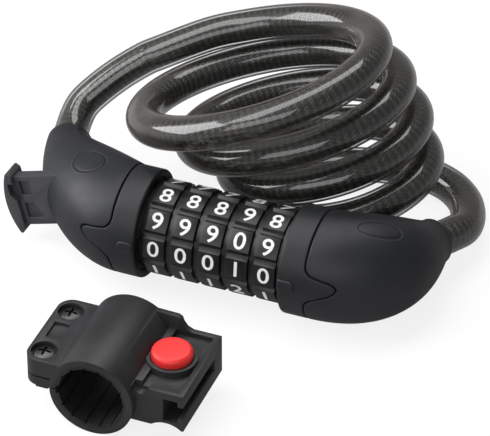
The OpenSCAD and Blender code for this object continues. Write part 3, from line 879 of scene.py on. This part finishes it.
class LOCK_OT_collars(bpy.types.Operator):
    """Makes the two collars with their tongues and index tabs"""
    bl_idname = "lock.add_collars"
    bl_label = "Collars"

    def execute(self, context):
        s = context.scene.lock_settings
        finish = housing_finish(s, "Satin collars")
        for elbow in ELBOWS:
            name = elbow.name + "_collar_shell"
            mesh = joined(name, [elbow.collar_mesh(s.seam_gap / MM),
                                 elbow.tab_mesh()])
            dress(new_object(name, mesh), finish, elbow.body,
                  [elbow.name + "_collar"])
        return {"FINISHED"}


# ---- dials ----

# What dials 1 to 5 show, and how far right of their middles the pads lie
READING = (0, 0, 0, 1, 0)
PAD_MIDDLE = 0.85

# A digit's height and added weight by the font's size, and its widening
DIGIT_SHARE, DIGIT_WEIGHT, DIGIT_WIDER = 0.73, 0.010, 1.12


def dial_finish(settings):
    """Black satin plastic with a fine grain."""
    f = Finish("Dial plastic")
    broad = f.noise(160.0, 3.0)
    fine = f.noise(2600.0)
    f.set(Base_Color=f.shades(broad.between(0.3, 0.7),
                              settings.dial_colour, 0.75, 1.4),
          Roughness=broad * 0.12 + fine * 0.06 + 0.27,
          Normal=f.bump(fine, 0.012 * MM))
    return f.material


def paint_finish(settings):
    """White paint, a little thin in places."""
    f = Finish("Digit paint", Specular_IOR_Level=0.3)
    thin = f.noise(900.0, 3.0, 0.6)
    f.set(Base_Color=f.shades(thin.between(0.3, 0.6),
                              settings.digit_colour, 0.86, 1.0),
          Roughness=thin * 0.2 + 0.4)
    return f.material


def digit_glyphs(height):
    """The ten digits as thin meshes, each centred on its own middle."""
    group = bpy.data.collections.new("Digits")
    for digit in range(10):
        text = bpy.data.curves.new("digit", "FONT")
        text.body = str(digit)
        text.size = height / DIGIT_SHARE
        text.offset = DIGIT_WEIGHT * text.size
        text.extrude = 0.03 * MM
        text.resolution_u = 6
        loose = new_object("digit", text)
        mesh = final_mesh(loose)
        bpy.data.objects.remove(loose)
        middle = Vector([(min(side) + max(side)) / 2 for side in
                         zip(*(v.co for v in mesh.vertices))])
        for vertex in mesh.vertices:
            vertex.co -= middle
            vertex.co.x *= DIGIT_WIDER
        group.objects.link(bpy.data.objects.new("digit_%d" % digit, mesh))
    bpy.context.scene.collection.children.link(group)
    return group


class Geometry(Tree):
    """A geometry tree whose inputs are named sizes."""

    def __init__(self, name, inputs):
        group = bpy.data.node_groups.new(name, "GeometryNodeTree")
        face = group.interface
        for label, kind in {"Geometry": "Geometry", **inputs}.items():
            face.new_socket(label, in_out="INPUT",
                            socket_type="NodeSocket" + kind)
        face.new_socket("Geometry", in_out="OUTPUT",
                        socket_type="NodeSocketGeometry")
        super().__init__(group)
        self.given = group.nodes.new("NodeGroupInput")
        self.result = group.nodes.new("NodeGroupOutput")

    def value(self, label):
        return Sock(self, self.given.outputs[label])

    def finish(self, geometry, material):
        real = self.node("GeometryNodeRealizeInstances",
                         {"Geometry": geometry})
        made = self.node("GeometryNodeSetMaterial",
                         {"Geometry": real, "Material": material})
        self.tree.links.new(made.socket, self.result.inputs[0])

    def moved(self, geometry, spot):
        return self.node("GeometryNodeTransform",
                         {"Geometry": geometry, "Translation": spot})

    def run(self, name, values):
        """A plain mesh object made by the tree with these values."""
        piece = new_object(name, bpy.data.meshes.new(name))
        step = piece.modifiers.new(name, "NODES")
        step.node_group = self.tree
        for item in self.tree.interface.items_tree:
            if item.name in values:
                step[item.identifier] = values[item.name]
        piece.update_tag()
        bpy.context.view_layer.update()
        apply_modifiers(piece)
        if not piece.data.polygons:
            raise RuntimeError(name + " came out empty")
        return piece


def digit_tree(material):
    """Ten digits round a dial, counting down as they go up."""
    g = Geometry("Digits round a dial", {
        "Glyphs": "Collection", "Middle": "Vector", "Radius": "Float",
        "First angle": "Float", "Reading": "Int"})
    index = g.node("GeometryNodeInputIndex")
    angle = index * radians(36.0) + g.value("First angle")
    around = g.vector(0.0, angle.cosine() * g.value("Radius") * -1.0,
                      angle.sine() * g.value("Radius"))
    spot = g.node("ShaderNodeVectorMath",
                  {0: around, 1: g.value("Middle")}, operation="ADD")
    spots = g.node("GeometryNodePoints", {"Count": 10, "Position": spot})
    glyphs = g.node("GeometryNodeCollectionInfo", {
        "Collection": g.value("Glyphs"), "Separate Children": True,
        "Reset Children": True}, transform_space="ORIGINAL")
    turn = g.vector(pi / 2 - angle)
    laid = g.node("GeometryNodeInstanceOnPoints", {
        "Points": spots, "Instance": glyphs, "Pick Instance": True,
        "Instance Index": (g.value("Reading") - index) % 10.0,
        "Rotation": g.node("FunctionNodeEulerToRotation", {0: turn})})
    g.finish(laid, material)
    return g


class LOCK_OT_dials(bpy.types.Operator):
    """Makes the five dials with ten white digits on each"""
    bl_idname = "lock.add_dials"
    bl_label = "Dials"

    def execute(self, context):
        s = context.scene.lock_settings
        black, white = dial_finish(s), paint_finish(s)
        glyphs = digit_glyphs(s.digit_height)
        tree = digit_tree(white)
        index = radians(INDEX_ROLL)
        out = Vector((0, -cos(index), sin(index)))
        for number in range(1, DIAL_COUNT + 1):
            node, body = "dial_%d" % number, "number_dial_%d" % number
            dial = rounded_copy("dial_shell_%d" % number, node, 0.16)
            middle = Vector(JOINTS[node + "_turn"]["pos_m"])
            middle.x += PAD_MIDDLE * MM
            hit = surface(dial.data).ray_cast(middle + out * 0.03, -out)[0]
            dress(dial, black, body, [node])
            digits = tree.run("dial_digits_%d" % number, {
                "Glyphs": glyphs, "Middle": tuple(middle),
                "Radius": (hit - middle).length + 0.01 * MM,
                "First angle": index, "Reading": READING[number - 1]})
            dress(digits, None, body)
        for glyph in list(glyphs.objects):
            bpy.data.objects.remove(glyph)
        bpy.data.collections.remove(glyphs)
        return {"FINISHED"}


# ---- bracket ----

def moulded_finish(name, tint, rough, grain, spread=0.3, scale=1500.0):
    """Matt moulded plastic with an even spark-eroded grain."""
    f = Finish(name)
    broad = f.noise(45.0, 3.0)
    fine = f.noise(scale, 3.0, 0.65)
    f.set(Base_Color=f.shades(broad.between(0.3, 0.7), tint, 1 - spread,
                              1 + spread),
          Roughness=broad * 0.1 + fine * 0.15 + (rough - 0.12),
          Normal=f.bump(fine, grain * MM))
    return f.material


def steel_finish(name, tint, rough):
    """Turned or brushed metal: fine lines with faint stains."""
    f = Finish(name, Metallic=1.0)
    lines = f.noise(900.0, 2.0, 0.6, stretch=(1.0, 14.0, 14.0))
    stain = f.noise(120.0, 3.0)
    f.set(Base_Color=f.shades(stain.between(0.35, 0.75), tint, 1.0, 0.72),
          Roughness=lines * 0.14 + stain * 0.08 + (rough - 0.1),
          Normal=f.bump(lines, 0.006 * MM))
    return f.material


def screw_tree(material):
    """Cross-headed screws at two spots."""
    g = Geometry("Clamp screws", {
        "First": "Vector", "Apart": "Vector", "Head radius": "Float",
        "Head height": "Float", "Slot": "Float", "Shank radius": "Float",
        "Shank length": "Float"})
    dome_share, slot_share = 2.2, 1.2
    r, h = g.value("Head radius"), g.value("Head height")
    column = g.node("GeometryNodeMeshCylinder",
                    {"Vertices": 48, "Radius": r, "Depth": h})
    dome = g.node("GeometryNodeMeshUVSphere",
                  {"Segments": 64, "Rings": 48, "Radius": r * dome_share})
    dome = g.moved(dome, g.vector(z=h * 0.5 - r * dome_share))
    head = g.node("GeometryNodeMeshBoolean", {"Mesh 2": column},
                  operation="INTERSECT")
    g.feed(dome, head, "Mesh 2")
    head = g.node("GeometryNodeMeshBoolean", {"Mesh 1": head},
                  operation="DIFFERENCE")
    slot, across = g.value("Slot"), r * slot_share
    for x, y in ((across, slot), (slot, across)):
        bar = g.node("GeometryNodeMeshCube", {"Size": g.vector(x, y, h)})
        g.feed(g.moved(bar, g.vector(z=h * 0.45)), head, "Mesh 2")
    shank = g.node("GeometryNodeMeshCylinder", {
        "Vertices": 24, "Radius": g.value("Shank radius"),
        "Depth": g.value("Shank length")})
    shank = g.moved(shank, g.vector(z=(g.value("Shank length") + h) * -0.5))
    both = g.node("GeometryNodeJoinGeometry")
    g.feed(head, both, 0)
    g.feed(shank, both, 0)
    spots = g.node("GeometryNodeMeshLine", {
        "Count": 2, "Start Location": g.value("First"),
        "Offset": g.value("Apart")})
    laid = g.node("GeometryNodeInstanceOnPoints",
                  {"Points": spots, "Instance": both})
    g.finish(laid, material)
    return g


class LOCK_OT_bracket(bpy.types.Operator):
    """Makes the tube bracket's body, its nuts and cross-headed screws"""
    bl_idname = "lock.add_bracket"
    bl_label = "Bracket"

    def execute(self, context):
        plastic = moulded_finish("Bracket plastic", (0.016, 0.0165, 0.018),
                                 0.46, 0.05)
        body = rounded_copy("bracket_body", "clamp_body", 0.3)
        dress(body, plastic, "bracket", ["clamp_body"])
        dark = steel_finish("Blackened steel", (0.09, 0.09, 0.092), 0.36)
        low, high = map(Vector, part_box("clamp_screws"))
        width = high.x - low.x
        tree = screw_tree(dark)
        head = 2.2 * MM
        screws = tree.run("screw_heads", {
            "First": (low.x + width / 2, low.y + width / 2, high.z - head / 2),
            "Apart": (0.0, high.y - low.y - width, 0.0),
            "Head radius": width / 2, "Head height": head,
            "Slot": 0.9 * MM, "Shank radius": 1.6 * MM,
            "Shank length": high.z - low.z - head})
        shade_smooth(screws, 35)
        dress(screws, None, "bracket", ["clamp_screws"])
        nuts = rounded_copy("clamp_nut_pair", "clamp_nuts", 0.2)
        dress(nuts, dark, "bracket", ["clamp_nuts"])
        return {"FINISHED"}


class LOCK_OT_button(bpy.types.Operator):
    """Makes the red release button"""
    bl_idname = "lock.add_button"
    bl_label = "Release button"

    def execute(self, context):
        s = context.scene.lock_settings
        piece = rounded_copy("red_button", "release_button", 0.5, 4)
        finish = moulded_finish("Red button", s.button_colour, 0.42, 0.012,
                                0.06, 2200.0)
        dress(piece, finish, "button", ["release_button"])
        return {"FINISHED"}


class LOCK_OT_rail(bpy.types.Operator):
    """Makes the mounting rail on the left cap"""
    bl_idname = "lock.add_rail"
    bl_label = "Mounting rail"

    def execute(self, context):
        piece = rounded_copy("rail_shell", "mount_rail", 0.6, 3)
        # Lighter than the housing's black as painted light: it stands for the
        # light the rail catches.
        finish = moulded_finish("Rail plastic", (0.042, 0.043, 0.048), 0.36,
                                0.03)
        dress(piece, finish, "pin_half", ["mount_rail"])
        return {"FINISHED"}


class LOCK_OT_inner(bpy.types.Operator):
    """Finishes the inner and working parts, and sleeves the cable's ends"""
    bl_idname = "lock.finish_inner"
    bl_label = "Working parts"

    def execute(self, context):
        steel = steel_finish("Turned steel", (0.62, 0.61, 0.6), 0.26)
        brass = steel_finish("Turned brass", (0.72, 0.52, 0.24), 0.3)
        finishes = {
            "side_washer": moulded_finish(
                "Black washer", (0.012, 0.012, 0.013), 0.4, 0.01),
            "end_disc": moulded_finish(
                "Black disc", (0.008, 0.008, 0.008), 0.55, 0.02),
            "clamp_liner": moulded_finish(
                "Liner rubber", (0.010, 0.010, 0.0105), 0.7, 0.06, 0.35,
                700.0)}
        for node in ("locking_pin", "core_sleeve", "retaining_ring",
                     "socket_latch", "button_spring", "left_cross_pin",
                     "right_cross_pin"):
            finishes[node] = steel
        for number in range(1, DIAL_COUNT + 1):
            finishes["combination_ring_%d" % number] = brass
        for node, finish in finishes.items():
            for spot in frame["nodes"][node].material_slots:
                spot.material = finish
        for elbow in ELBOWS:
            sleeve = new_object(elbow.name + "_cable_sleeve",
                                elbow.ferrule_mesh())
            dress(sleeve, steel, elbow.body,
                  [elbow.name + "_ferrule"])
        return {"FINISHED"}


# ---- stage ----

def softbox(name, spot, size, power):
    lamp = bpy.data.lights.new(name, "AREA")
    lamp.shape = "RECTANGLE"
    lamp.size, lamp.size_y = size
    lamp.energy = power
    box = new_object(name, lamp)
    box.location = place(spot)
    box.rotation_euler = (place(LAMPS_AIM) - box.location).to_track_quat(
        "-Z", "Y").to_euler()


def seen_rays(tree):
    """The light paths, and which of them show a thing to the eye."""
    rays = tree.node("ShaderNodeLightPath")
    return rays, rays.of("Is Camera Ray").most(rays.of("Is Transmission Ray"))


class LOCK_OT_stage(bpy.types.Operator):
    """Adds the camera, the floor, the soft lamps and the pale world"""
    bl_idname = "lock.add_stage"
    bl_label = "Stage"

    def execute(self, context):
        s = context.scene.lock_stage
        scene = context.scene
        a, e = s.azimuth, s.elevation
        right = Vector((cos(a), sin(a), 0))
        back = Vector((sin(a) * cos(e), -cos(a) * cos(e), sin(e)))
        up = back.cross(right)
        target = AXIS + (LOOK_RIGHT * right + LOOK_UP * up) * MM
        lens = bpy.data.cameras.new("Camera")
        lens.lens = s.lens
        lens.clip_start, lens.clip_end = 0.05, 20.0
        camera = new_object("Camera", lens)
        camera.location = target + back * s.distance
        camera.rotation_euler = back.to_track_quat("Z", "Y").to_euler()
        scene.camera = camera
        scene.view_settings.view_transform = "Standard"

        h = 6
        mesh = mesh_from("floor", [(-h, -h, 0), (h, -h, 0), (h, h, 0),
                                   (-h, h, 0)], [(0, 1, 2, 3)])
        floor = new_object("floor", mesh)
        f = Finish("Pale floor", Roughness=0.6, Specular_IOR_Level=0.2)
        pale = s.backdrop
        f.set(Base_Color=f.shades(f.noise(3.0), pale, 0.78, 0.80))
        rays, shown = seen_rays(f)
        seen = shown.most(rays.of("Is Glossy Ray"))
        glow = f.node("ShaderNodeEmission", {
            "Color": colour(pale),
            "Strength": shown * FLOOR_SHOWN + FLOOR_LIGHT})
        mixed = f.node("ShaderNodeMixShader", {
            0: seen * FLOOR_SHARE, 1: Sock(f, f.shader.outputs[0]), 2: glow})
        f.tree.links.new(mixed.socket, f.output.inputs[0])
        mesh.materials.append(f.material)

        world = bpy.data.worlds.new("Pale room")
        scene.world = world
        world.use_nodes = True
        w = Tree(world.node_tree)
        w.tree.nodes.clear()
        shown = seen_rays(w)[1]
        sky = w.node("ShaderNodeBackground", {
            "Color": (1, 1, 1, 1),
            "Strength": shown * ROOM_SHOWN + ROOM_LIGHT})
        out = w.tree.nodes.new("ShaderNodeOutputWorld")
        w.tree.links.new(sky.socket, out.inputs[0])

        for lamp in LAMPS:
            softbox(*lamp)
        return {"FINISHED"}


STEPS = (LOCK_OT_stage, LOCK_OT_cable, LOCK_OT_caps, LOCK_OT_collars,
         LOCK_OT_dials, LOCK_OT_bracket, LOCK_OT_button, LOCK_OT_rail,
         LOCK_OT_inner)


class LOCK_PT_panel(bpy.types.Panel):
    """Lists the pieces of the lock"""
    bl_label = "Cable Lock"
    bl_space_type = "VIEW_3D"
    bl_region_type = "UI"
    bl_category = "Cable Lock"

    def draw(self, context):
        column = self.layout.column()
        for group in (context.scene.lock_settings, context.scene.lock_stage):
            for name in type(group).__annotations__:
                column.prop(group, name)
        for step in STEPS:
            column.operator(step.bl_idname)


CLASSES = (LockSettings, StageSettings) + STEPS + (LOCK_PT_panel,)


def register():
    for cls in CLASSES:
        bpy.utils.register_class(cls)
    bpy.types.Scene.lock_settings = PointerProperty(type=LockSettings)
    bpy.types.Scene.lock_stage = PointerProperty(type=StageSettings)


def unregister():
    del bpy.types.Scene.lock_settings
    del bpy.types.Scene.lock_stage
    for cls in reversed(CLASSES):
        bpy.utils.unregister_class(cls)


def main():
    register()
    for step in STEPS:
        group, name = step.bl_idname.split(".")
        getattr(getattr(bpy.ops, group), name)()


if __name__ == "__main__":
    main()
